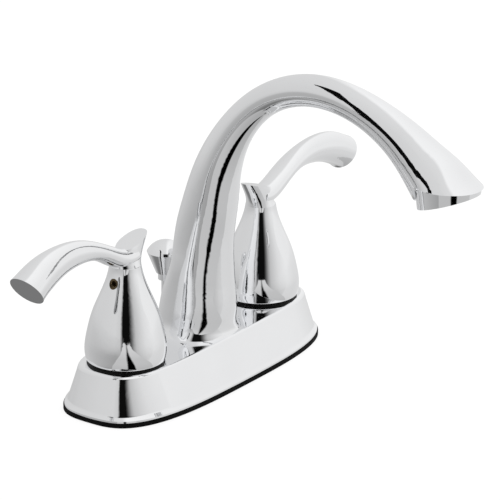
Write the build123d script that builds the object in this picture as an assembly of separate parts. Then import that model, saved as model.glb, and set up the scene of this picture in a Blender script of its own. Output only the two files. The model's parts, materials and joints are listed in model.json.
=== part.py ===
from build123d import *

import os
from math import copysign, cos, pi, sin, sqrt

# Two-handle bathroom tap on a 4-inch centre plate, in millimetres.
# Origin: on the deck, midway between the two inlet shanks.
# X runs from the left handle to the right one, -Y is the front, +Z is up.

# Deck plate
inlet_centres = 101.6
half_centres = inlet_centres / 2
gasket_thickness = 1.4
plate_height = 19.3
plate_top = gasket_thickness + plate_height
plate_wall = 2.4
plate_rim_radius = 1.8
plate_overhang = 26.8
foot_half_length = half_centres + plate_overhang
foot_half_width = 29.9
foot_squareness = 3.1
plate_end_taper = 6.6
plate_side_taper = 9.1
top_half_length = foot_half_length - plate_end_taper
top_half_width = foot_half_width - plate_side_taper
top_squareness = 3.8
lip_height = 1.5
lip_inset = 1.6
lip_draft = 0.2
lip_crest_radius = 0.5
lip_root_radius = 1.6
gasket_inset = 0.5

# Brass waterway: two valve barrels, a cross tube and a centre spigot
running_clearance = 0.08
slip_clearance = 0.3
fixed_fit = 0.03
overcut = 1.0
shank_radius = 10.4
shank_chamfer = 0.8
supply_thread_length = 13.5
thread_relief_radius = 9.8
thread_relief_length = 1.5
mounting_thread_radius = 10.7
mounting_thread_spare = 1.4
inlet_bore = 6.4
chamber_radius = 8.8
barrel_wall = 2.1
barrel_neck_radius = chamber_radius + barrel_wall
barrel_shoulder = 2.1
barrel_radius = barrel_neck_radius + barrel_shoulder
barrel_bottom = 2.2
barrel_neck_reach = 9.3
barrel_top = plate_top + barrel_neck_reach
chamber_floor = -6.0
cross_tube_height = 10.0
cross_tube_radius = 6.3
cross_tube_bore = 4.3
spigot_base_radius = 10.6
spigot_base_bottom = 3.0
spigot_radius = 9.4
spigot_bore = 6.0
spigot_reach = 18.3
spigot_top = plate_top + spigot_reach
spigot_ring_spacing = 6.0
spigot_ring_heights = (spigot_top - 2 * spigot_ring_spacing, spigot_top - spigot_ring_spacing)
ring_section = 0.55
ring_stretch = 0.02
ring_groove_gap = 0.25

# Quarter-turn ceramic cartridge
seal_thickness = 3.2
seal_side_gap = 0.6
seal_radius = chamber_radius - seal_side_gap
seal_bore = 5.0
fixed_disc_thickness = 2.8
moving_disc_thickness = 2.6
disc_clearance = 0.2
disc_port_radius = 2.0
disc_port_margin = 1.4
drive_slot_depth = 1.1
drive_slot_width = 3.6
drive_blade_gap = 0.1
cartridge_wall = 1.12
cartridge_bore = chamber_radius - running_clearance - cartridge_wall
disc_port_offset = cartridge_bore - disc_port_radius - disc_port_margin
cartridge_flange_radius = barrel_neck_radius - slip_clearance
cartridge_flange_thickness = 1.8
cartridge_neck_radius = 6.6
cartridge_neck_reach = 10.0
cartridge_top = barrel_top + cartridge_neck_reach
cartridge_window_top = 14.0
cartridge_window_drop = 0.4
stem_end_play = 0.1
stem_radius = 4.8
stem_waist_radius = 2.6
stem_foot_thickness = 2.8
stem_collar_thickness = 1.8
stem_reach = 21.5
stem_top = cartridge_top + stem_reach
broach_radius = 4.0
broach_length = 15.5
broach_bottom = stem_top - broach_length
broach_teeth = 16
broach_tooth_depth = 0.35
stem_ring_height = 24.0

# Nuts on the valve barrels
nut_wall = 0.9
plate_nut_flats = 2 * (barrel_neck_radius + nut_wall)
plate_nut_thickness = 3.6
bonnet_flats = plate_nut_flats
bonnet_skirt = 4.8
bonnet_lip = 1.8

# Handle: bell-shaped hub and S-shaped lever, one casting
hub_gap = 1.2
hub_base_radius = 17.5
hub_belly_radius = 18.1
hub_belly_rise = 5.3
hub_belly_height = plate_top + hub_belly_rise
glide_ring_bore = plate_nut_flats / sqrt(3) + slip_clearance
glide_ring_lip_wall = 0.6
hub_wall = hub_base_radius - glide_ring_bore - glide_ring_lip_wall - slip_clearance
hub_neck_radius = 7.0
hub_crown = 3.5
hub_neck_height = stem_top + hub_crown
# Hub side from belly to neck: share of the height and share of the narrowing that is left
hub_side = ((0.205, 0.91), (0.436, 0.698), (0.667, 0.364), (0.885, 0.081))
hub_foot_rounding = 0.6
socket_gap = 9.0
socket_bottom = cartridge_top + socket_gap
socket_end_gap = 0.8
glide_ring_thickness = 1.0
glide_ring_radius = hub_base_radius - slip_clearance
glide_ring_lip_height = 1.8
set_screw_drop = 6.6
set_screw_height = hub_neck_height - set_screw_drop
set_screw_radius = 2.2
set_screw_face = 7.9
set_screw_key = 2.5
set_screw_key_depth = 1.6

# Lever stations: reach from the hub's axis, height over the neck, half width and half thickness
lever_stations = (
    (-3.0, 4.4, 6.1, 4.1),
    (6.0, 4.9, 5.9, 4.3),
    (15.0, 9.2, 5.7, 4.1),
    (24.0, 13.1, 5.5, 4.2),
    (33.0, 14.9, 5.3, 5.2),
    (42.0, 15.1, 5.6, 6.2),
    (51.0, 13.9, 6.4, 7.1),
    (58.8, 11.5, 7.2, 7.7),
    (66.6, 7.7, 8.0, 8.3),
)
lever_end_slope = (0.81, 0, -0.59)

# Tail stations: distance of the widest line and its height over the neck, rise to the tip,
# half width, reach to the tip, reach to the lever and squareness at the tip
tail_stations = (
    (0.0, -0.5, 0.0, 7.0, 7.0, 7.0, 2.0),
    (1.1, 2.71, 0.1, 5.9, 6.9, 7.4, 2.0),
    (2.3, 6.16, 0.2, 5.4, 8.1, 8.2, 2.1),
    (3.5, 9.82, 0.29, 5.1, 10.2, 8.6, 2.2),
)

# Spout column stations: height, widest line, half width, reach to front, reach to back, squareness
column_stations = (
    (plate_top, 0.0, 19.6, 19.6, 13.8, 3.4),
    (plate_top + 2.0, 0.0, 18.4, 18.8, 13.6, 3.3),
    (30.0, -0.5, 17.0, 18.8, 13.4, 3.1),
    (40.0, -1.0, 15.9, 18.0, 12.3, 3.0),
    (50.0, -1.7, 15.0, 16.8, 9.6, 2.9),
    (60.0, -2.8, 13.6, 15.6, 9.7, 2.6),
    (70.0, -4.8, 12.6, 14.2, 11.3, 2.3),
    (80.0, -7.8, 12.0, 12.6, 12.2, 2.1),
)
front_squareness = 2.15
column_lean = -0.12
column_lean_start = 45.0
# Channel stations inside the column: height, centre Y and radius
channel_stations = (
    (spigot_top, -0.6, 8.0),
    (60.0, -3.4, 7.6),
    (80.0, -7.8, 7.2),
)
# Spout arch stations: Y, Z and radius of a round section square to the path
arch_stations = (
    (-12.6, 98.3, 10.5),
    (-22.0, 117.4, 8.2),
    (-38.2, 133.8, 7.0),
    (-59.4, 141.9, 7.0),
    (-80.0, 141.0, 7.3),
    (-97.7, 134.7, 8.1),
    (-108.8, 128.1, 9.3),
    (-118.4, 120.5, 11.1),
)
arch_start_direction = (0, -0.31, 0.95)
arch_end_direction = (0, -0.76, -0.65)
spout_wall = 2.5
spout_socket_gap = 2.0

# Flare stations: Y, Z, half width and half height of an elliptical section
flare_stations = (
    (-124.3, 115.3, 12.6, 12.5),
    (-128.8, 111.0, 14.3, 12.9),
    (-133.6, 106.3, 16.0, 13.3),
    (-138.4, 101.7, 17.4, 13.6),
)
# Spout outlet: the flare ends at a crease, level in front and dropping behind, over a short collar
outlet_point = (-130.2, 106.4)
outlet_normal = (0, -0.32, -0.947)
outlet_throat = 7.0
collar_height = 7.3
crease_height = outlet_point[1] + collar_height
crease_bend = -125.0
crease_back = (-117.2, 104.8)
collar_centre = -130.6
collar_top_radius = 14.2
collar_slope = 0.14
# Half width of the blocks that trim the outlet, and their front and lower limits
trim_reach = 40.0
trim_front = -170.0
trim_bottom = 80.0

# Aerator screwed into the outlet
aerator_radius = 10.2
aerator_wall = 1.2
aerator_recess = 0.7
aerator_height = 6.8
aerator_lip = 0.9
aerator_insert_height = 4.0
aerator_hole_radius = 0.95
aerator_hole_pitch = 2.9
aerator_screen_thickness = 0.8
aerator_screen_slot = 1.2
aerator_washer_thickness = 1.0

# Screws that hold the spout to the plate
spout_screw_x = 10.4
spout_screw_y = -10.4
spout_screw_radius = 1.9
spout_screw_head_radius = 3.2
spout_screw_head_height = 2.2
spout_screw_length = 9.0
screw_slot_length = 2.4
screw_slot_width = 0.8

# Lift rod behind the spout
rod_offset = 16.4
rod_radius = 2.0
rod_clearance = 0.25
rod_bottom = -105.0
rod_socket_depth = 6.0
knob_radius = 8.5
knob_lift = 19.0
knob_collar_bottom = plate_top + knob_lift
knob_collar_height = 3.2
knob_cone_bottom = knob_collar_bottom + knob_collar_height
knob_cone_height = 10.0
knob_edge_height = knob_cone_bottom + knob_cone_height
knob_edge_land = 0.4
knob_edge_drop = 0.9
knob_dome = 5.2
knob_dome_middle = 4.7
knob_cone_radius = 4.4
knob_cone_step = 0.3
knob_collar_radius = 3.5

# Mounting nuts below the deck
deck_thickness = 20.0
mounting_washer_radius = 19.0
mounting_washer_thickness = 1.6
mounting_nut_radius = 15.0
mounting_nut_height = 10.0
mounting_wing_radius = 23.0
mounting_wing_width = 5.0
mounting_wing_drop = 2.0
mounting_nut_bottom = -(deck_thickness + mounting_washer_thickness + mounting_nut_height)
mounting_thread_bottom = mounting_nut_bottom - mounting_thread_spare
supply_thread_top = mounting_thread_bottom - thread_relief_length
shank_end = supply_thread_top - supply_thread_length

outline_points = 36
section_points = 20
same_height = 0.01


def power(value, exponent):
    """Signed power, which turns an ellipse into a superellipse."""
    return copysign(abs(value) ** exponent, value)


def upright(radius, bottom, top, x=0.0, y=0.0):
    """Solid cylinder between two heights."""
    return Pos(x, y, (bottom + top) / 2) * Cylinder(radius, top - bottom)


def tube(outer, inner, bottom, top, x=0.0, y=0.0):
    """Round tube between two heights."""
    return upright(outer, bottom, top, x, y) - upright(inner, bottom - overcut, top + overcut, x, y)


def hexagon(flats, bottom, top):
    """Upright hexagonal prism, flats facing Y."""
    prism = extrude(RegularPolygon(flats / 2, 6, major_radius=False), top - bottom)
    return Pos(0, 0, bottom) * prism


def plate_outline(half_length, half_width, squareness, height):
    """Superellipse face at one height."""
    points = []
    for step in range(outline_points):
        angle = 2 * pi * (step + 0.5) / outline_points
        x = half_length * power(cos(angle), 2 / squareness)
        y = half_width * power(sin(angle), 2 / squareness)
        points.append((x, y, height))
    return make_face(Spline(*points, periodic=True))


def plate_size(height):
    """Half length, half width and squareness of the plate's flank above its lip."""
    flank_start = gasket_thickness + 2 * lip_height
    share = (height - flank_start) / (plate_top - flank_start)
    length = foot_half_length - lip_inset
    width = foot_half_width - lip_inset
    return (
        length + share * (top_half_length - length),
        width + share * (top_half_width - width),
        foot_squareness + share * (top_squareness - foot_squareness),
    )


def plate_shell():
    """Outer form of the deck plate with its flared lip, hollowed from below."""
    flank_start = gasket_thickness + 2 * lip_height
    lip_top = gasket_thickness + lip_height
    lip = plate_outline(foot_half_length, foot_half_width, foot_squareness, gasket_thickness)
    crest_length = foot_half_length - lip_draft
    crest_width = foot_half_width - lip_draft
    lip_crest = plate_outline(crest_length, crest_width, foot_squareness, lip_top)
    flank_foot = plate_outline(*plate_size(flank_start), flank_start)
    flank_top = plate_outline(*plate_size(plate_top), plate_top)
    body = loft([lip, lip_crest], ruled=True)
    body += loft([lip_crest, flank_foot], ruled=True)
    body += loft([flank_foot, flank_top], ruled=True)
    body = fillet(body.edges().group_by(Axis.Z)[-1], plate_rim_radius)
    crest_edges = [edge for edge in body.edges() if abs(edge.center().Z - lip_top) < same_height]
    root_edges = [edge for edge in body.edges() if abs(edge.center().Z - flank_start) < same_height]
    body = fillet(crest_edges, lip_crest_radius)
    body = fillet(root_edges, lip_root_radius)
    inside = []
    for height in (gasket_thickness, plate_top - plate_wall):
        length, width, squareness = plate_size(height)
        inside.append(plate_outline(length - plate_wall, width - plate_wall, squareness, height))
    return body - loft(inside, ruled=True)


def deck_plate():
    """Plate with holes for the valve necks, the spigot, the lift rod and the spout's screws."""
    plate = plate_shell()
    above = plate_top + overcut
    for side in (-1, 1):
        plate -= upright(barrel_neck_radius + slip_clearance, 0, above, side * half_centres)
        hole_radius = spout_screw_radius + slip_clearance
        plate -= upright(hole_radius, 0, above, side * spout_screw_x, spout_screw_y)
    plate -= upright(spigot_radius + slip_clearance, 0, above)
    return plate - upright(rod_radius + rod_clearance, 0, above, 0, rod_offset)


def base_gasket():
    """Flat rubber gasket between the plate and the deck."""
    length = foot_half_length - gasket_inset
    width = foot_half_width - gasket_inset
    faces = [plate_outline(length, width, foot_squareness, height) for height in (0, gasket_thickness)]
    gasket = loft(faces, ruled=True)
    above = gasket_thickness + overcut
    for side in (-1, 1):
        gasket -= upright(barrel_radius + slip_clearance, -overcut, above, side * half_centres)
    return gasket - upright(rod_radius + slip_clearance, -overcut, above, 0, rod_offset)


def shank(x):
    """Threaded inlet shank: mounting thread, relief groove, supply thread and chamfered end."""
    thread_bottom = shank_end + shank_chamfer
    body = upright(mounting_thread_radius, mounting_thread_bottom, barrel_bottom, x)
    body += upright(thread_relief_radius, thread_bottom, barrel_bottom, x)
    body += upright(shank_radius, thread_bottom, supply_thread_top, x)
    chamfer_cone = Cone(shank_radius - shank_chamfer, shank_radius, shank_chamfer)
    return body + Pos(x, 0, shank_end + shank_chamfer / 2) * chamfer_cone


def waterway_body():
    """Brass casting that carries both valves and feeds the spout."""
    shoulder = plate_top - plate_wall
    reach = half_centres - chamber_radius / 2
    body = Pos(0, 0, cross_tube_height) * Rot(0, 90, 0) * Cylinder(cross_tube_radius, 2 * reach)
    body += upright(spigot_base_radius, spigot_base_bottom, shoulder)
    body += upright(spigot_radius, shoulder, spigot_top)
    for side in (-1, 1):
        x = side * half_centres
        body += shank(x)
        body += upright(barrel_radius, barrel_bottom, shoulder, x)
        body += upright(barrel_neck_radius, shoulder, barrel_top, x)
    body -= Pos(0, 0, cross_tube_height) * Rot(0, 90, 0) * Cylinder(cross_tube_bore, 2 * reach)
    body -= upright(spigot_bore, cross_tube_height, spigot_top + overcut)
    for side in (-1, 1):
        x = side * half_centres
        body -= upright(inlet_bore, shank_end - overcut, chamber_floor + overcut, x)
        body -= upright(chamber_radius, chamber_floor, barrel_top + overcut, x)
    for height in spigot_ring_heights:
        low = height - ring_section - ring_groove_gap
        high = height + ring_section + ring_groove_gap
        body -= tube(spigot_radius + overcut, spigot_radius - 2 * ring_section, low, high)
    return body


def valve_seal(x):
    """Rubber cup seal under the fixed disc."""
    return tube(seal_radius, seal_bore, chamber_floor, chamber_floor + seal_thickness, x)


def fixed_disc(x):
    """Ceramic disc with two ports, held still in the cartridge."""
    bottom = chamber_floor + seal_thickness
    top = bottom + fixed_disc_thickness
    disc = upright(cartridge_bore - disc_clearance, bottom, top, x)
    for side in (-1, 1):
        disc -= upright(disc_port_radius, bottom - overcut, top + overcut, x, side * disc_port_offset)
    return disc


def moving_disc(x):
    """Ceramic disc that the stem turns, with a slot for the stem's blade."""
    bottom = chamber_floor + seal_thickness + fixed_disc_thickness
    top = bottom + moving_disc_thickness
    disc = upright(cartridge_bore - 2 * disc_clearance, bottom, top, x)
    for side in (-1, 1):
        disc -= upright(disc_port_radius, bottom - overcut, top + overcut, x + side * disc_port_offset)
    slot = Box(2 * cartridge_bore, drive_slot_width, 2 * drive_slot_depth)
    return disc - Pos(x, 0, top) * slot


def cartridge_body(x):
    """Cartridge shell with two water windows, a flange and a neck that guides the stem."""
    bottom = chamber_floor + seal_thickness
    outer = chamber_radius - running_clearance
    body = upright(outer, bottom, barrel_top)
    body += upright(cartridge_flange_radius, barrel_top, barrel_top + cartridge_flange_thickness)
    body += upright(cartridge_neck_radius, barrel_top, cartridge_top)
    body -= upright(cartridge_bore, bottom - overcut, cartridge_window_top)
    body -= upright(stem_radius + running_clearance, bottom, cartridge_top + overcut)
    window = Box(4 * chamber_radius, 2 * cross_tube_bore, 2 * cross_tube_bore)
    body -= Pos(0, 0, cross_tube_height - cartridge_window_drop) * window
    return Pos(x, 0, 0) * body


def valve_stem(x):
    """Brass stem: blade and foot below, thrust collar, ring groove and splined top."""
    disc_top = chamber_floor + seal_thickness + fixed_disc_thickness + moving_disc_thickness
    foot_radius = cartridge_bore - 2 * disc_clearance
    collar_top = cartridge_window_top - stem_end_play
    foot_top = disc_top + stem_foot_thickness
    stem = upright(foot_radius, disc_top, foot_top)
    for side in (-1, 1):
        x_port = side * disc_port_offset
        stem -= upright(disc_port_radius, disc_top - overcut, foot_top + overcut, x_port)
    blade = Box(2 * stem_waist_radius, drive_slot_width - 2 * drive_blade_gap, drive_slot_depth)
    stem += Pos(0, 0, disc_top - drive_slot_depth / 2 + stem_end_play / 2) * blade
    stem += upright(stem_waist_radius, disc_top, collar_top)
    stem += upright(foot_radius, collar_top - stem_collar_thickness, collar_top)
    stem += upright(stem_radius, collar_top, broach_bottom)
    stem += upright(broach_radius, broach_bottom, stem_top)
    tooth = Rot(0, 0, 45) * Box(2 * broach_tooth_depth, 2 * broach_tooth_depth, stem_top - broach_bottom)
    height = (stem_top + broach_bottom) / 2
    for step in range(broach_teeth):
        angle = 360 * (step + 0.5) / broach_teeth
        stem -= Rot(0, 0, angle) * Pos(broach_radius, 0, height) * tooth
    low = stem_ring_height - ring_section - ring_groove_gap
    high = stem_ring_height + ring_section + ring_groove_gap
    stem -= tube(stem_radius + overcut, stem_radius - 2 * ring_section, low, high)
    return Pos(x, 0, 0) * stem


def stem_ring(x):
    """Rubber ring in the stem's groove."""
    return Pos(x, 0, stem_ring_height) * Torus(stem_radius - ring_section + ring_stretch, ring_section)


def plate_nut(x):
    """Thin brass nut that clamps the plate to the valve barrel."""
    top = plate_top + plate_nut_thickness
    nut = hexagon(plate_nut_flats, plate_top, top)
    nut -= upright(barrel_neck_radius + running_clearance, plate_top - overcut, top + overcut)
    return Pos(x, 0, 0) * nut


def bonnet_nut(x):
    """Brass cap nut that holds the cartridge's flange down."""
    lip_bottom = barrel_top + cartridge_flange_thickness
    top = lip_bottom + bonnet_lip
    bonnet_bottom = barrel_top - bonnet_skirt
    nut = hexagon(bonnet_flats, bonnet_bottom, top)
    nut -= upright(barrel_neck_radius + running_clearance, bonnet_bottom - overcut, lip_bottom)
    nut -= upright(cartridge_neck_radius + slip_clearance, bonnet_bottom, top + overcut)
    return Pos(x, 0, 0) * nut


def glide_ring(x):
    """Black plastic ring that the handle turns over, with a lip that centres it."""
    ring_top = plate_top + glide_ring_thickness
    lip_radius = glide_ring_bore + glide_ring_lip_wall
    ring = tube(glide_ring_radius, glide_ring_bore, plate_top, ring_top, x)
    return ring + tube(lip_radius, glide_ring_bore, plate_top, ring_top + glide_ring_lip_height, x)


def hub_curve(inset=0.0):
    """Bell-shaped side of the hub as a list of (radius, height), foot first."""
    stations = [(hub_base_radius, plate_top + hub_gap), (hub_belly_radius, hub_belly_height)]
    for rise, width in hub_side:
        radius = hub_neck_radius + width * (hub_belly_radius - hub_neck_radius)
        stations.append((radius, hub_belly_height + rise * (hub_neck_height - hub_belly_height)))
    return [(radius - inset, height) for radius, height in stations]


def hub():
    """Outer form of the hub, turned about the handle's axis."""
    foot = plate_top + hub_gap
    lower = [(radius, 0, height) for radius, height in hub_curve()]
    neck = (hub_neck_radius, 0, hub_neck_height)
    side = Spline(*lower, neck)
    closing = Polyline(neck, (0, 0, hub_neck_height), (0, 0, foot), side @ 0)
    turned_hub = revolve(make_face([side, closing]), Axis.Z)
    return fillet(turned_hub.edges().group_by(Axis.Z)[0], hub_foot_rounding)


def hub_cavity():
    """Space inside the hub for the valve, ending in the stem's socket."""
    foot = plate_top + hub_gap
    wall_points = [(radius, 0, height) for radius, height in hub_curve(hub_wall)[:-2]]
    side = Spline(*wall_points, (hub_neck_radius, 0, socket_bottom))
    closing = Polyline(side @ 1, (0, 0, socket_bottom), (0, 0, foot), side @ 0)
    cavity = revolve(make_face([side, closing]), Axis.Z)
    socket_radius = broach_radius + running_clearance
    return cavity + upright(socket_radius, socket_bottom - overcut, stem_top + socket_end_gap)


def egg(plane, half_width, up, down, up_squareness, down_squareness):
    """Closed section of two superellipse halves that share their widest line."""
    points = []
    for step in range(section_points):
        angle = 2 * pi * step / section_points
        square = up_squareness if sin(angle) >= 0 else down_squareness
        reach = up if sin(angle) >= 0 else down
        x = half_width * power(cos(angle), 2 / square)
        y = reach * power(sin(angle), 2 / square)
        points.append(plane.from_local_coords((x, y, 0)))
    return make_face(Spline(*points, periodic=True))


def lever():
    """Lever that rises from the hub, droops and widens to a flat end."""
    centres = [Vector(reach, 0, hub_neck_height + rise) for reach, rise, _, _ in lever_stations]
    spine = Spline(*centres)
    sections = []
    for centre, station in zip(centres, lever_stations):
        direction = lever_end_slope if centre is centres[-1] else spine.tangent_at(centre)
        plane = Plane(origin=centre, x_dir=(0, -1, 0), z_dir=direction)
        _, _, half_width, half_thickness = station
        sections.append(egg(plane, half_width, half_thickness, half_thickness, 2.0, 2.0))
    return loft(sections)


def tail():
    """Upturned tongue over the hub, on the side away from the lever, with a bowl-shaped underside."""
    sections = []
    for widest, over_neck, rise, half_width, to_tip, to_lever, squareness in tail_stations:
        origin = (-widest, 0, hub_neck_height + over_neck)
        plane = Plane(origin=origin, x_dir=(0, 1, 0), z_dir=(rise, 0, 1))
        sections.append(egg(plane, half_width, to_tip, to_lever, squareness, 2.0))
    return loft(sections)


def handle(side):
    """Right handle, or its mirror image on the left."""
    body = hub() + tail() + lever()
    body -= hub_cavity()
    bore = Cylinder(set_screw_radius + running_clearance, 2 * hub_neck_radius)
    body -= Pos(hub_neck_radius, 0, set_screw_height) * Rot(0, 90, 0) * bore
    body = Pos(half_centres, 0, 0) * body
    return body if side > 0 else mirror(body, about=Plane.YZ)


def set_screw(side):
    """Hexagon-socket grub screw that grips the stem's splines."""
    length = set_screw_face - broach_radius
    screw = Cylinder(set_screw_radius, length)
    key = extrude(RegularPolygon(set_screw_key / 2, 6, major_radius=False), length)
    screw -= Pos(0, 0, length / 2 - set_screw_key_depth) * key
    screw = Pos(half_centres + broach_radius + length / 2, 0, set_screw_height) * Rot(0, 90, 0) * screw
    return screw if side > 0 else mirror(screw, about=Plane.YZ)


def arch_spine():
    """Centre line of the spout's arch."""
    last_column = column_stations[-1]
    centres = [(0, last_column[1], last_column[0])]
    centres += [(0, y, z) for y, z, _ in arch_stations]
    return Spline(*centres, tangents=[arch_start_direction, arch_end_direction])


def outlet_plane(point, normal):
    """Plane across the spout's end at a (Y, Z) point."""
    return Plane(origin=(0, point[0], point[1]), x_dir=(1, 0, 0), z_dir=normal)


def round_section(point, direction, radius):
    """Round section square to a direction."""
    plane = Plane(origin=point, x_dir=(1, 0, 0), z_dir=direction)
    return egg(plane, radius, radius, radius, 2.0, 2.0)


def spout_outside():
    """Outer form of the spout from its foot to the crease."""
    sections = []
    for height, widest, half_width, front, back, squareness in column_stations:
        lean = column_lean if height > column_lean_start else 0.0
        plane = Plane(origin=(0, widest, height), x_dir=(1, 0, 0), z_dir=(0, lean, 1))
        sections.append(egg(plane, half_width, back, front, squareness, front_squareness))
    spine = arch_spine()
    for y, z, radius in arch_stations:
        point = Vector(0, y, z)
        sections.append(round_section(point, spine.tangent_at(point), radius))
    for y, z, half_width, half_height in flare_stations:
        plane = Plane(origin=(0, y, z), x_dir=(1, 0, 0), z_dir=arch_end_direction)
        sections.append(egg(plane, half_width, half_height, half_height, 2.0, 2.0))
    return loft(sections)


def below_crease():
    """Block under the crease line, which trims the flare."""
    level = (0, crease_bend, crease_height)
    back = (0, crease_back[0], crease_back[1])
    bend = Spline(level, back, tangents=[(0, 1, 0), (0, 0.5, -1)])
    below = (0, crease_back[0], trim_bottom)
    rest = Polyline(back, below, (0, trim_front, trim_bottom), (0, trim_front, crease_height), level)
    return Pos(-trim_reach, 0, 0) * extrude(make_face([bend, rest]), 2 * trim_reach, dir=(1, 0, 0))


def spout_waterway():
    """Channel inside the spout from the spigot's end to the aerator's seat."""
    sections = []
    for height, centre, radius in channel_stations:
        sections.append(round_section((0, centre, height), (0, column_lean, 1), radius))
    spine = arch_spine()
    for y, z, radius in arch_stations:
        point = Vector(0, y, z)
        size = min(radius - spout_wall, outlet_throat)
        sections.append(round_section(point, spine.tangent_at(point), size))
    end = outlet_plane(outlet_point, outlet_normal).offset(-outlet_throat)
    sections.append(egg(end, outlet_throat, outlet_throat, outlet_throat, 2.0, 2.0))
    return loft(sections)


def spout():
    """Hollow cast spout with a socket for the spigot and a seat for the aerator."""
    body = spout_outside() - below_crease()
    outlet = outlet_plane(outlet_point, outlet_normal)
    block = Box(2 * trim_reach, 2 * trim_reach, trim_reach)
    under_outlet = outlet.location * Pos(0, 0, trim_reach / 2) * block
    height = 2 * collar_height
    end_radius = collar_top_radius - collar_slope * height
    collar = Cone(end_radius, collar_top_radius, height)
    collar = Pos(0, collar_centre, crease_height - height / 2) * collar - under_outlet
    body += collar & below_crease()
    body -= spout_waterway()
    body -= upright(spigot_radius + running_clearance, plate_top - overcut, spigot_top + spout_socket_gap)
    seat_depth = aerator_recess + aerator_height + aerator_washer_thickness
    seat = Cylinder(aerator_radius + running_clearance, seat_depth + overcut)
    body -= outlet.location * Pos(0, 0, (overcut - seat_depth) / 2) * seat
    hole_top = plate_top - plate_wall + spout_screw_length + overcut
    hole_radius = spout_screw_radius + running_clearance
    for side in (-1, 1):
        body -= upright(hole_radius, plate_top - overcut, hole_top, side * spout_screw_x, spout_screw_y)
    return body


def spout_ring(height):
    """Rubber ring in one of the spigot's grooves."""
    return Pos(0, 0, height) * Torus(spigot_radius - ring_section + ring_stretch, ring_section)


def spout_screw(side):
    """Pan-head screw from below the plate into the spout's foot."""
    seat = plate_top - plate_wall
    x = side * spout_screw_x
    screw = upright(spout_screw_radius, seat - overcut, seat + spout_screw_length, x, spout_screw_y)
    screw += upright(spout_screw_head_radius, seat - spout_screw_head_height, seat, x, spout_screw_y)
    slot = Box(screw_slot_length, screw_slot_width, 2 * screw_slot_width)
    cross = slot + Rot(0, 0, 90) * slot
    return screw - Pos(x, spout_screw_y, seat - spout_screw_head_height) * cross


def in_outlet(shape, depth):
    """Shape moved so that it starts at a depth inside the outlet."""
    return outlet_plane(outlet_point, outlet_normal).location * Pos(0, 0, -depth) * shape


def aerator_housing():
    """Round metal shell of the aerator with a lip at its lower end."""
    inner = aerator_radius - aerator_wall
    middle = Pos(0, 0, -aerator_height / 2)
    shell = Cylinder(aerator_radius, aerator_height)
    shell -= Cylinder(inner - aerator_lip, aerator_height + overcut)
    shell = middle * shell
    shell -= Pos(0, 0, -aerator_lip - aerator_height / 2) * Cylinder(inner, aerator_height)
    for side in (-1, 1):
        shell -= Pos(side * aerator_radius, 0, 0) * Box(2 * aerator_wall, 2 * aerator_wall, aerator_lip)
    return in_outlet(shell, aerator_recess)


def aerator_insert():
    """Plastic insert with a hexagonal pattern of jet holes."""
    radius = aerator_radius - aerator_wall - running_clearance
    insert = Pos(0, 0, -aerator_insert_height / 2) * Cylinder(radius, aerator_insert_height)
    row_height = aerator_hole_pitch * sqrt(3) / 2
    for row in range(-2, 3):
        holes = 5 - abs(row)
        for column in range(holes):
            x = (column - (holes - 1) / 2) * aerator_hole_pitch
            insert -= Pos(x, row * row_height, 0) * Cylinder(aerator_hole_radius, 3 * aerator_insert_height)
    return in_outlet(insert, aerator_recess + aerator_lip)


def aerator_screen():
    """Thin strainer above the insert."""
    radius = aerator_radius - aerator_wall - running_clearance
    screen = Cylinder(radius, aerator_screen_thickness)
    for step in range(6):
        slot = Box(radius / 2, aerator_screen_slot, 2 * aerator_screen_thickness)
        screen -= Rot(0, 0, 60 * step) * Pos(radius / 2, 0, 0) * slot
    depth = aerator_recess + aerator_lip + aerator_insert_height + aerator_screen_thickness / 2
    return in_outlet(screen, depth)


def aerator_washer():
    """Rubber washer between the aerator and its seat."""
    washer = Cylinder(aerator_radius, aerator_washer_thickness)
    washer -= Cylinder(outlet_throat + slip_clearance, 2 * aerator_washer_thickness)
    return in_outlet(washer, aerator_recess + aerator_height + aerator_washer_thickness / 2)


def lift_rod():
    """Straight rod that works the waste."""
    return upright(rod_radius, rod_bottom, knob_collar_bottom + rod_socket_depth, 0, rod_offset)


def lift_knob():
    """Domed knob with a conical underside and a collar."""
    dome_radius = (knob_radius ** 2 + knob_dome ** 2) / (2 * knob_dome)
    apex_height = knob_edge_height + knob_dome
    drop = dome_radius - sqrt(dome_radius ** 2 - knob_dome_middle ** 2)
    apex = (0, 0, apex_height)
    edge = (knob_radius, 0, knob_edge_height)
    dome = ThreePointArc(apex, (knob_dome_middle, 0, apex_height - drop), edge)
    sides = Polyline(
        edge,
        (knob_radius - knob_edge_land, 0, knob_edge_height - knob_edge_drop),
        (knob_cone_radius, 0, knob_cone_bottom),
        (knob_collar_radius, 0, knob_cone_bottom - knob_cone_step),
        (knob_collar_radius, 0, knob_collar_bottom),
        (0, 0, knob_collar_bottom),
        apex,
    )
    knob = Pos(0, rod_offset, 0) * revolve(make_face([dome, sides]), Axis.Z)
    socket_top = knob_collar_bottom + rod_socket_depth
    return knob - upright(rod_radius + fixed_fit, knob_collar_bottom - overcut, socket_top, 0, rod_offset)


def mounting_washer(x):
    """Plastic washer under the deck."""
    top = -deck_thickness
    bottom = top - mounting_washer_thickness
    return tube(mounting_washer_radius, mounting_thread_radius + slip_clearance, bottom, top, x)


def mounting_nut(x):
    """Plastic wing nut on the shank."""
    top = -deck_thickness - mounting_washer_thickness
    bottom = top - mounting_nut_height
    nut = upright(mounting_nut_radius, bottom, top, x)
    wing_height = mounting_nut_height - mounting_wing_drop
    wing = Box(2 * mounting_wing_radius, mounting_wing_width, wing_height)
    nut += Pos(x, 0, bottom + wing_height / 2) * (wing + Rot(0, 0, 90) * wing)
    bore = mounting_thread_radius + running_clearance
    return nut - upright(bore, bottom - overcut, top + overcut, x)


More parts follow.
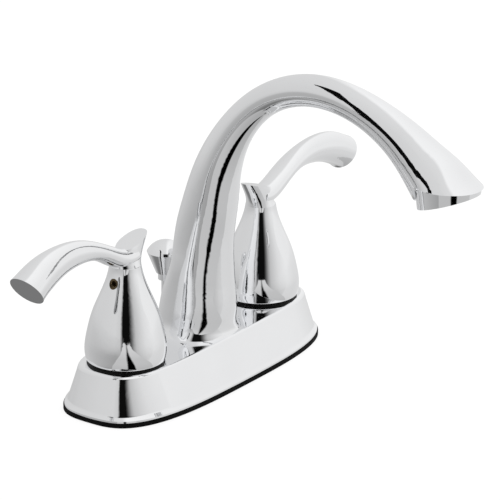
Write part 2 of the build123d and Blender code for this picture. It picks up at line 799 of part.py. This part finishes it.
make = {
    "deck_plate": deck_plate(),
    "base_gasket": base_gasket(),
    "waterway_body": waterway_body(),
    "spout": spout(),
    "spout_ring_lower": spout_ring(spigot_ring_heights[0]),
    "spout_ring_upper": spout_ring(spigot_ring_heights[1]),
    "aerator_housing": aerator_housing(),
    "aerator_insert": aerator_insert(),
    "aerator_screen": aerator_screen(),
    "aerator_washer": aerator_washer(),
    "lift_rod": lift_rod(),
    "lift_knob": lift_knob(),
}
for label, side in (("left", -1), ("right", 1)):
    centre = side * half_centres
    make[f"{label}_handle"] = handle(side)
    make[f"{label}_set_screw"] = set_screw(side)
    make[f"{label}_glide_ring"] = glide_ring(centre)
    make[f"{label}_valve_seal"] = valve_seal(centre)
    make[f"{label}_fixed_disc"] = fixed_disc(centre)
    make[f"{label}_moving_disc"] = moving_disc(centre)
    make[f"{label}_cartridge_body"] = cartridge_body(centre)
    make[f"{label}_valve_stem"] = valve_stem(centre)
    make[f"{label}_stem_ring"] = stem_ring(centre)
    make[f"{label}_plate_nut"] = plate_nut(centre)
    make[f"{label}_bonnet_nut"] = bonnet_nut(centre)
    make[f"{label}_spout_screw"] = spout_screw(side)
    make[f"{label}_mounting_washer"] = mounting_washer(centre)
    make[f"{label}_mounting_nut"] = mounting_nut(centre)

os.makedirs("parts", exist_ok=True)
for name, shape in make.items():
    export_step(shape, f"parts/{name}.step")
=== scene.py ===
import json
import math

import bpy
from mathutils import Matrix, Vector


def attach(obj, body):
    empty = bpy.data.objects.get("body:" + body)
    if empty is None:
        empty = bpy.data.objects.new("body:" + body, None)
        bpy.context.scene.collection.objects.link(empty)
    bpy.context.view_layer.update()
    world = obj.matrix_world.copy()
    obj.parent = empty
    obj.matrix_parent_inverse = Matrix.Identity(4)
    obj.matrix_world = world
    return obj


# Lengths are in metres and angles in degrees. "Right" is the camera's right, "ahead" is level towards it.

# Camera fitted to the photograph: direction from the aim point, distance, and lens in mm.
CAMERA_AZIMUTH, CAMERA_ELEVATION, CAMERA_ROLL = -54.79, 19.99, 0.49
CAMERA_DISTANCE, CAMERA_AIM = 1.3, (0.0, -0.030, 0.060)
CAMERA_LENS, CAMERA_SENSOR, CAMERA_SHIFT = 212.5, 36.0, (0.0003, 0.0142)
CAMERA_CLIP = (0.05, 20.0)

# Studio that the chrome mirrors. Its levels and angles were fitted to the tones of the photograph's chrome
# by mirrored direction, so they suit that view and say nothing of the real room.
# In front: angle to the right of the camera, and grey level.
FRONT_STOPS = (
    (-90, 0.655),
    (-30, 0.68),
    (-14, 0.62),
    (-10, 0.25),
    (-8, 0.004),
    (13, 0.004),
    (17, 0.06),
    (22, 0.20),
    (27, 0.38),
    (33, 0.54),
    (45, 0.64),
    (60, 0.75),
    (80, 0.83),
    (90, 0.86),
)
# The same overhead and behind the tap, where there is no dark gap.
BACK_STOPS = (
    (-90, 0.655),
    (-30, 0.68),
    (0, 0.71),
    (8, 0.90),
    (45, 0.86),
    (60, 0.84),
    (90, 0.86),
)
# Angles up from the camera's side between which the dark gap ends.
GAP_TOP = (48, 54)
# Factor on the grey level against the sine of the elevation.
HEIGHT_STOPS = (
    (-1.0, 0.62),
    (-0.5, 0.82),
    (-0.25, 0.84),
    (-0.08, 0.94),
    (0.0, 1.0),
    (0.5, 1.02),
    (1.0, 1.06),
)
# Studio's floor towards the camera: a light strip between two edges, with a dark joint along it. The
# pairs are an angle at the horizon and what it gains by straight down; DOWN values are sines downwards.
FLOOR_DOWN = (-0.05, -0.04)
STRIP_LEVEL, STRIP_LEFT, STRIP_RIGHT, STRIP_SOFT = 0.66, (8, 52), (20, 120), (-1, 1)
JOINT_CENTRE, JOINT_WIDTH, JOINT_SOFT = (5, 24), (1.2, 18), (-2, 2.5)
# Darker floor left of the strip, and darker still steeply down.
LEFT_LEVEL, LEFT_TURN, LEFT_DOWN = 0.42, (-130, -25), (-0.10, 0.16)
DEEP_LEVEL, DEEP_TURN, DEEP_DOWN = 0.27, (-15, 0), (0.62, 0.76)

# Floor plane: half size, place just under the plate, level to the camera and the share of it that is
# shaded, and level and half sizes of the part right under the tap, which alone shows in the chrome.
FLOOR_HALF, FLOOR_Z = 3.0, -0.0002
FLOOR_WHITE, FLOOR_SHADED, UNDER_LEVEL = 0.83, 0.30, 0.62
UNDER_HALF, UNDER_SOFT = (0.085, 0.036), (0.8, 1.0)

# Black card beside the tap that draws the dark line along the arch, started from the photograph's line
# followed back off the mirroring arch: turn from the camera, distance, and outline as (sideways, height).
CARD_TURN, CARD_DISTANCE, CARD_LEVEL = -64, 0.20, 0.004
CARD_OUTLINE = (
    (-0.055, 0.420), (-0.034, 0.388), (0.000, 0.360), (0.024, 0.328), (0.060, 0.265), (0.083, 0.205),
    (0.086, 0.165), (0.078, 0.130), (0.068, 0.117), (0.105, 0.117), (0.125, 0.145), (0.128, 0.180),
    (0.120, 0.225), (0.107, 0.258), (0.085, 0.330), (0.056, 0.412), (0.000, 0.425),
)

# Black edge round the plate's foot: partly the gasket's own black rubber, partly painted shade standing in
# for the dark shade and reflection at the foot of the plate's lip. Half sizes and power of the foot's
# outline, points along it, and the edge's section as (outwards, height).
FOOT_HALF, FOOT_POWER, FOOT_POINTS = (0.07764, 0.02997), 3.1, 720
EDGE_SECTION = (
    (0.00002, 0.0), (0.00018, 0.0), (0.00018, 0.0018), (0.000108, 0.0021), (0.00002, 0.0021),
)

# Threads of the inlet shanks: distance of their axes from the middle, pitch and depth, ends, plain
# groove between the two threads, and the radii between which the walls lie.
SHANK_X, THREAD_PITCH, THREAD_DEPTH = 0.0508, 0.001814, 0.0009
THREAD_Z, GROOVE_Z, THREAD_RADIUS = (-0.0472, 0.0022), (-0.0345, -0.0330), (0.0100, 0.0110)
# Cast brass: noise scale and detail of its grain and of its stains, grain height as a share of the
# thread's, tints, and roughness at noise 0 and 1.
GRAIN_NOISE, STAIN_NOISE, CAST_GRAIN = (900.0, 3.0), (60.0, 5.0), 0.03
CAST_TINTS, CAST_ROUGHNESS = ((0.52, 0.37, 0.16), (0.66, 0.50, 0.25)), (0.28, 0.42)

# Finishes by material slot, or by node name without its side. Bump is noise scale, detail, depth and
# strength; roughness is noise scale, least and most; colour is noise scale, darkest and lightest.
FINISHES = {
    "chrome": {
        "settings": {"Metallic": 1.0},
        "roughness": (60, 0.015, 0.045),
        "colour": (35, (0.915, 0.92, 0.93), (0.94, 0.945, 0.955)),
    },
    "brass": {
        "settings": {"Metallic": 1.0},
        "bump": (900, 3, 0.0001, 0.2),
        "roughness": (200, 0.22, 0.36),
        "colour": (40, (0.60, 0.44, 0.20), (0.74, 0.58, 0.30)),
    },
    "set_screw": {
        "settings": {"Metallic": 1.0},
        "bump": (1200, 3, 0.0001, 0.3),
        "roughness": (400, 0.35, 0.5),
        "colour": (200, (0.10, 0.075, 0.04), (0.22, 0.16, 0.09)),
    },
    "steel": {
        "settings": {"Metallic": 1.0},
        "bump": (700, 2, 0.0001, 0.15),
        "roughness": (300, 0.25, 0.4),
        "colour": (100, (0.5, 0.5, 0.5), (0.62, 0.62, 0.62)),
    },
    "black_rubber": {
        "settings": {"Roughness": 0.75, "Specular IOR Level": 0.12},
        "bump": (1500, 4, 0.0001, 0.3),
        "colour": (300, (0.001, 0.001, 0.001), (0.004, 0.004, 0.004)),
    },
    "black_plastic": {
        "settings": {"Roughness": 0.5, "Specular IOR Level": 0.16},
        "bump": (2500, 3, 0.00005, 0.25),
        "colour": (300, (0.001, 0.001, 0.001), (0.003, 0.003, 0.003)),
    },
    "white_plastic": {
        "settings": {"Roughness": 0.45},
        "bump": (1200, 3, 0.0001, 0.2),
        "colour": (60, (0.76, 0.76, 0.74), (0.83, 0.83, 0.82)),
    },
    "white_ceramic": {
        "settings": {},
        "roughness": (120, 0.12, 0.22),
        "colour": (80, (0.84, 0.83, 0.80), (0.90, 0.89, 0.87)),
    },
}
# Noise values between which a finish goes from its least to its most, and detail of that noise.
NOISE_SPAN, ROUGHNESS_DETAIL, COLOUR_DETAIL = (0.3, 0.7), 4.0, 5.0


def camera_sides():
    """Unit vectors from the aim point back to the camera, to its right, and level towards it."""
    azimuth, elevation = math.radians(CAMERA_AZIMUTH), math.radians(CAMERA_ELEVATION)
    back = Vector((
        math.sin(azimuth) * math.cos(elevation),
        -math.cos(azimuth) * math.cos(elevation),
        math.sin(elevation),
    ))
    right = Vector((0, 0, 1)).cross(back).normalized()
    return back, right, Vector((back.x, back.y, 0)).normalized()


def make_camera():
    back, right, _ = camera_sides()
    up = back.cross(right)
    roll = math.radians(CAMERA_ROLL)
    turned_right = right * math.cos(roll) + up * math.sin(roll)
    turned_up = up * math.cos(roll) - right * math.sin(roll)
    data = bpy.data.cameras.new("view_camera")
    data.lens, data.sensor_width = CAMERA_LENS, CAMERA_SENSOR
    data.shift_x, data.shift_y = CAMERA_SHIFT
    data.clip_start, data.clip_end = CAMERA_CLIP
    camera = bpy.data.objects.new("view_camera", data)
    bpy.context.scene.collection.objects.link(camera)
    rotation = Matrix((turned_right, turned_up, back)).transposed().to_4x4()
    camera.matrix_world = Matrix.Translation(Vector(CAMERA_AIM) + back * CAMERA_DISTANCE) @ rotation
    bpy.context.scene.camera = camera


class Tree:
    """Short helper to build a node tree."""

    def __init__(self, owner):
        owner.use_nodes = True
        self.tree = owner.node_tree
        self.tree.nodes.clear()

    def fill(self, socket, value):
        if isinstance(value, bpy.types.NodeSocket):
            self.tree.links.new(value, socket)
        else:
            socket.default_value = value

    def add(self, kind, inputs=None):
        node = self.tree.nodes.new(kind)
        for name, value in (inputs or {}).items():
            self.fill(node.inputs[name], value)
        return node

    def math(self, operation, *values):
        node = self.tree.nodes.new("ShaderNodeMath")
        node.operation = operation
        for index, value in enumerate(values):
            self.fill(node.inputs[index], value)
        return node.outputs[0]

    def between(self, value, low, high):
        """Rises evenly from 0 at low to 1 at high."""
        node = self.add("ShaderNodeMapRange", {"Value": value, "From Min": low, "From Max": high})
        return node.outputs["Result"]

    def mix(self, factor, first, second):
        """First value where the factor is 0, second where it is 1."""
        extra = self.math("SUBTRACT", second, first)
        return self.math("MULTIPLY_ADD", extra, factor, first)

    def line(self, value, ends, sign=1):
        """Straight line with ends' first number at 0 and its second as the slope."""
        return self.math("MULTIPLY_ADD", value, sign * ends[1], sign * ends[0])

    def dot(self, x, y, side):
        return self.math("ADD", self.math("MULTIPLY", x, side.x), self.math("MULTIPLY", y, side.y))

    def inside(self, value, ends):
        """1 between the ends, else 0."""
        above = self.math("GREATER_THAN", value, ends[0])
        return self.math("MULTIPLY", above, self.math("LESS_THAN", value, ends[1]))

    def ramp(self, factor, stops):
        """Ramp from (position, grey or colour) stops."""
        node = self.add("ShaderNodeValToRGB", {0: factor})
        elements = node.color_ramp.elements
        while len(elements) < len(stops):
            elements.new(0.5)
        for element, (position, value) in zip(elements, stops):
            element.position = position
            element.color = (value, value, value, 1) if isinstance(value, float) else (*value, 1)
        return node.outputs[0]

    def noise(self, place, scale, detail):
        node = self.add("ShaderNodeTexNoise", {"Vector": place, "Scale": scale, "Detail": detail})
        return node.outputs[0]

    def split(self, vector):
        parts = self.add("ShaderNodeSeparateXYZ", {"Vector": vector})
        return [parts.outputs[index] for index in range(3)]

    def place(self):
        """Place on the piece, in its own metres."""
        return self.add("ShaderNodeTexCoord").outputs["Object"]

    def emission(self, level):
        return self.add("ShaderNodeEmission", {"Color": (level, level, level, 1), "Strength": 1.0}).outputs[0]

    def diffuse(self, level):
        return self.add("ShaderNodeBsdfDiffuse", {"Color": (level, level, level, 1)}).outputs[0]

    def choose(self, factor, first, second):
        """First shader where the factor is 0, second where it is 1."""
        return self.add("ShaderNodeMixShader", {0: factor, 1: first, 2: second}).outputs[0]


def studio_grey(t, x, y, z):
    """Grey of the studio in a direction, before the factor for its height."""
    _, right, ahead = camera_sides()
    to_camera, to_right = t.dot(x, y, ahead), t.dot(x, y, right)
    share = t.math("MULTIPLY_ADD", t.math("DEGREES", t.math("ARCSINE", to_right)), 1 / 180, 0.5)
    front, behind = (
        t.ramp(share, [(angle / 180 + 0.5, level) for angle, level in stops])
        for stops in (FRONT_STOPS, BACK_STOPS)
    )
    overhead = t.math("DEGREES", t.math("ARCTAN2", z, to_camera))
    grey = t.mix(t.between(t.math("ABSOLUTE", overhead), *GAP_TOP), front, behind)

    turn = t.math("DEGREES", t.math("ARCTAN2", to_right, to_camera))
    down = t.math("MULTIPLY", z, -1.0)
    past_left = t.between(t.math("SUBTRACT", turn, t.line(down, STRIP_LEFT, -1)), *STRIP_SOFT)
    before_right = t.between(t.math("SUBTRACT", t.line(down, STRIP_RIGHT), turn), *STRIP_SOFT)
    left = t.math("MULTIPLY", t.between(turn, *LEFT_TURN), t.math("SUBTRACT", 1.0, past_left))
    grey = t.mix(t.math("MULTIPLY", t.between(down, *LEFT_DOWN), left), grey, LEFT_LEVEL)
    deep_left = t.math("SUBTRACT", 1.0, t.between(turn, *DEEP_TURN))
    grey = t.mix(t.math("MULTIPLY", t.between(down, *DEEP_DOWN), deep_left), grey, DEEP_LEVEL)
    from_centre = t.math("ABSOLUTE", t.math("SUBTRACT", turn, t.line(down, JOINT_CENTRE)))
    off_joint = t.between(t.math("SUBTRACT", from_centre, t.line(down, JOINT_WIDTH)), *JOINT_SOFT)
    on_strip = t.math("MULTIPLY", t.between(down, *FLOOR_DOWN), t.math("MULTIPLY", past_left, before_right))
    return t.mix(on_strip, grey, t.math("MULTIPLY", off_joint, STRIP_LEVEL))


def make_studio():
    """White to the camera; to the chrome, a pale studio with a dark gap from the camera's side upwards."""
    world = bpy.data.worlds.new("studio")
    bpy.context.scene.world = world
    t = Tree(world)
    x, y, z = t.split(t.add("ShaderNodeTexCoord").outputs["Generated"])
    height = t.math("MULTIPLY_ADD", z, 0.5, 0.5)
    factor = t.ramp(height, [(sine / 2 + 0.5, level) for sine, level in HEIGHT_STOPS])
    studio = t.add("ShaderNodeBackground", {"Color": studio_grey(t, x, y, z), "Strength": factor}).outputs[0]
    paper = t.add("ShaderNodeBackground", {"Color": (1, 1, 1, 1), "Strength": 1.0}).outputs[0]
    is_camera = t.add("ShaderNodeLightPath").outputs["Is Camera Ray"]
    t.add("ShaderNodeOutputWorld", {"Surface": t.choose(is_camera, studio, paper)})


def new_object(name, points, faces, material):
    mesh = bpy.data.meshes.new(name)
    mesh.from_pydata(points, [], faces)
    mesh.materials.append(material)
    thing = bpy.data.objects.new(name, mesh)
    bpy.context.scene.collection.objects.link(thing)
    return thing


def make_floor():
    """White floor with a faint shadow, which glossy rays meet only right under the tap."""
    material = bpy.data.materials.new("floor_white")
    t = Tree(material)
    lit = {0: t.emission(FLOOR_WHITE), 1: t.diffuse(FLOOR_SHADED)}
    to_camera = t.add("ShaderNodeAddShader", lit).outputs[0]
    clear = t.add("ShaderNodeBsdfTransparent").outputs[0]
    x, y, _ = t.split(t.place())
    along, across = (
        t.math("POWER", t.math("ABSOLUTE", t.math("DIVIDE", part, half)), 2.0)
        for part, half in zip((x, y), UNDER_HALF)
    )
    beyond = t.between(t.math("ADD", along, across), *UNDER_SOFT)
    path = t.add("ShaderNodeLightPath")
    gone = t.math("MULTIPLY", beyond, path.outputs["Is Glossy Ray"])
    to_chrome = t.choose(gone, t.emission(UNDER_LEVEL), clear)
    surface = t.choose(path.outputs["Is Camera Ray"], to_chrome, to_camera)
    t.add("ShaderNodeOutputMaterial", {"Surface": surface})
    corners = [(side * FLOOR_HALF, end * FLOOR_HALF, 0) for side, end in ((-1, -1), (1, -1), (1, 1), (-1, 1))]
    floor = new_object("floor", corners, [(0, 1, 2, 3)], material)
    floor.location = (0, 0, FLOOR_Z)


def make_card():
    """Black card that only shows in the chrome."""
    material = bpy.data.materials.new("card_black")
    t = Tree(material)
    t.add("ShaderNodeOutputMaterial", {"Surface": t.diffuse(CARD_LEVEL)})
    _, right, ahead = camera_sides()
    turn = math.radians(CARD_TURN)
    away = right * math.sin(turn) + ahead * math.cos(turn)
    aside = right * math.cos(turn) - ahead * math.sin(turn)
    points = [away * CARD_DISTANCE + aside * u + Vector((0, 0, v)) for u, v in CARD_OUTLINE]
    card = new_object("card", points, [tuple(range(len(points)))], material)
    card.visible_camera = False
    card.visible_diffuse = False
    card.visible_shadow = False


def foot_point(angle, out):
    """Point of the plate's foot outline at an angle, moved outwards by a distance."""
    x, y = (
        half * math.copysign(abs(part) ** (2 / FOOT_POWER), part)
        for half, part in zip(FOOT_HALF, (math.cos(angle), math.sin(angle)))
    )
    normal = Vector([
        math.copysign(abs(part / half) ** (FOOT_POWER - 1) / half, part)
        for half, part in zip(FOOT_HALF, (x, y))
    ]).normalized()
    return x + normal.x * out, y + normal.y * out


def make_gasket_and_shade_edge(material):
    """Black edge round the plate's foot, which shows as a black line under the plate: partly the gasket's own
    rubber, partly painted shade at the lip's foot.
    """
    points = [
        (*foot_point(2 * math.pi * step / FOOT_POINTS, out), height)
        for step in range(FOOT_POINTS)
        for out, height in EDGE_SECTION
    ]
    size = len(EDGE_SECTION)
    faces = []
    for step in range(FOOT_POINTS):
        here, there = step * size, (step + 1) % FOOT_POINTS * size
        for side in range(size):
            after = (side + 1) % size
            faces.append((here + side, there + side, there + after, here + after))
    edge = new_object("gasket_edge_and_painted_shade", points, faces, material)
    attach(edge, "base")


def principled(name, settings, bump=None, roughness=None, colour=None):
    """Material with its even values on the shader and its detail from noise on the piece."""
    material = bpy.data.materials.new(name)
    t = Tree(material)
    place = t.place()
    inputs = dict(settings)
    if bump:
        scale, detail, depth, strength = bump
        relief = {"Height": t.noise(place, scale, detail), "Distance": depth, "Strength": strength}
        inputs["Normal"] = t.add("ShaderNodeBump", relief).outputs[0]
    if roughness:
        scale, least, most = roughness
        level = t.add("ShaderNodeMapRange", {
            "Value": t.noise(place, scale, ROUGHNESS_DETAIL),
            "From Min": NOISE_SPAN[0], "From Max": NOISE_SPAN[1], "To Min": least, "To Max": most,
        })
        inputs["Roughness"] = level.outputs[0]
    if colour:
        scale, *tints = colour
        inputs["Base Color"] = t.ramp(t.noise(place, scale, COLOUR_DETAIL), list(zip(NOISE_SPAN, tints)))
    shader = t.add("ShaderNodeBsdfPrincipled", inputs)
    t.add("ShaderNodeOutputMaterial", {"Surface": shader.outputs[0]})
    return material


def threaded_brass():
    """Cast brass whose shanks carry a screw thread."""
    material = bpy.data.materials.new("threaded_brass")
    t = Tree(material)
    place = t.place()
    x, y, z = t.split(place)
    across = t.math("SUBTRACT", x, t.math("MULTIPLY", t.math("SIGN", x), SHANK_X))
    turn = t.math("DIVIDE", t.math("ARCTAN2", y, across), 2 * math.pi)
    phase = t.math("SUBTRACT", t.math("DIVIDE", z, THREAD_PITCH), turn)
    wave = t.math("MULTIPLY", t.math("PINGPONG", phase, 0.5), 2.0)
    radius = t.math("SQRT", t.math("ADD", t.math("MULTIPLY", across, across), t.math("MULTIPLY", y, y)))
    mask = t.math("MULTIPLY", t.inside(z, THREAD_Z), t.math("SUBTRACT", 1.0, t.inside(z, GROOVE_Z)))
    mask = t.math("MULTIPLY", mask, t.inside(radius, THREAD_RADIUS))
    height = t.math("MULTIPLY_ADD", t.noise(place, *GRAIN_NOISE), CAST_GRAIN, t.math("MULTIPLY", wave, mask))
    relief = t.add("ShaderNodeBump", {"Height": height, "Distance": THREAD_DEPTH, "Strength": 1.0})
    stain = t.noise(place, *STAIN_NOISE)
    least, most = CAST_ROUGHNESS
    rough = t.add("ShaderNodeMapRange", {"Value": stain, "To Min": least, "To Max": most})
    shader = t.add("ShaderNodeBsdfPrincipled", {
        "Metallic": 1.0,
        "Base Color": t.ramp(stain, list(zip(NOISE_SPAN, CAST_TINTS))),
        "Roughness": rough.outputs[0],
        "Normal": relief.outputs[0],
    })
    t.add("ShaderNodeOutputMaterial", {"Surface": shader.outputs[0]})
    return material


def dress(frame, materials):
    """Gives each node its own material where there is one, and else that of its record slot."""
    slots = {part["node"]: part["material_slot"] for part in frame["record"]["subparts"]}
    for name, node in frame["nodes"].items():
        own = name.removeprefix("left_").removeprefix("right_")
        for slot in node.material_slots:
            slot.material = materials.get(own) or materials[slots[name]]


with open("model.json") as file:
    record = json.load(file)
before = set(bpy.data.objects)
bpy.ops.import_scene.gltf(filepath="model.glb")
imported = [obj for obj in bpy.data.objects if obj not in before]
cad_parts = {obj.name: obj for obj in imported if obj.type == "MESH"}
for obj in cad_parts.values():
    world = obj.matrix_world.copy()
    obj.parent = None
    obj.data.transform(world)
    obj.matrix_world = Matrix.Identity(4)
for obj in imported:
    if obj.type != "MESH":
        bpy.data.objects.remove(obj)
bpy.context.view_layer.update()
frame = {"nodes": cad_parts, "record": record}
bpy.context.scene.view_settings.view_transform = "Standard"
make_camera()
make_studio()
make_floor()
make_card()
materials = {name: principled(name, **finish) for name, finish in FINISHES.items()}
materials["waterway_body"] = threaded_brass()
dress(frame, materials)
# Black edge under the plate: the gasket's own rubber and painted shade at the foot of the lip.
make_gasket_and_shade_edge(materials["black_rubber"])
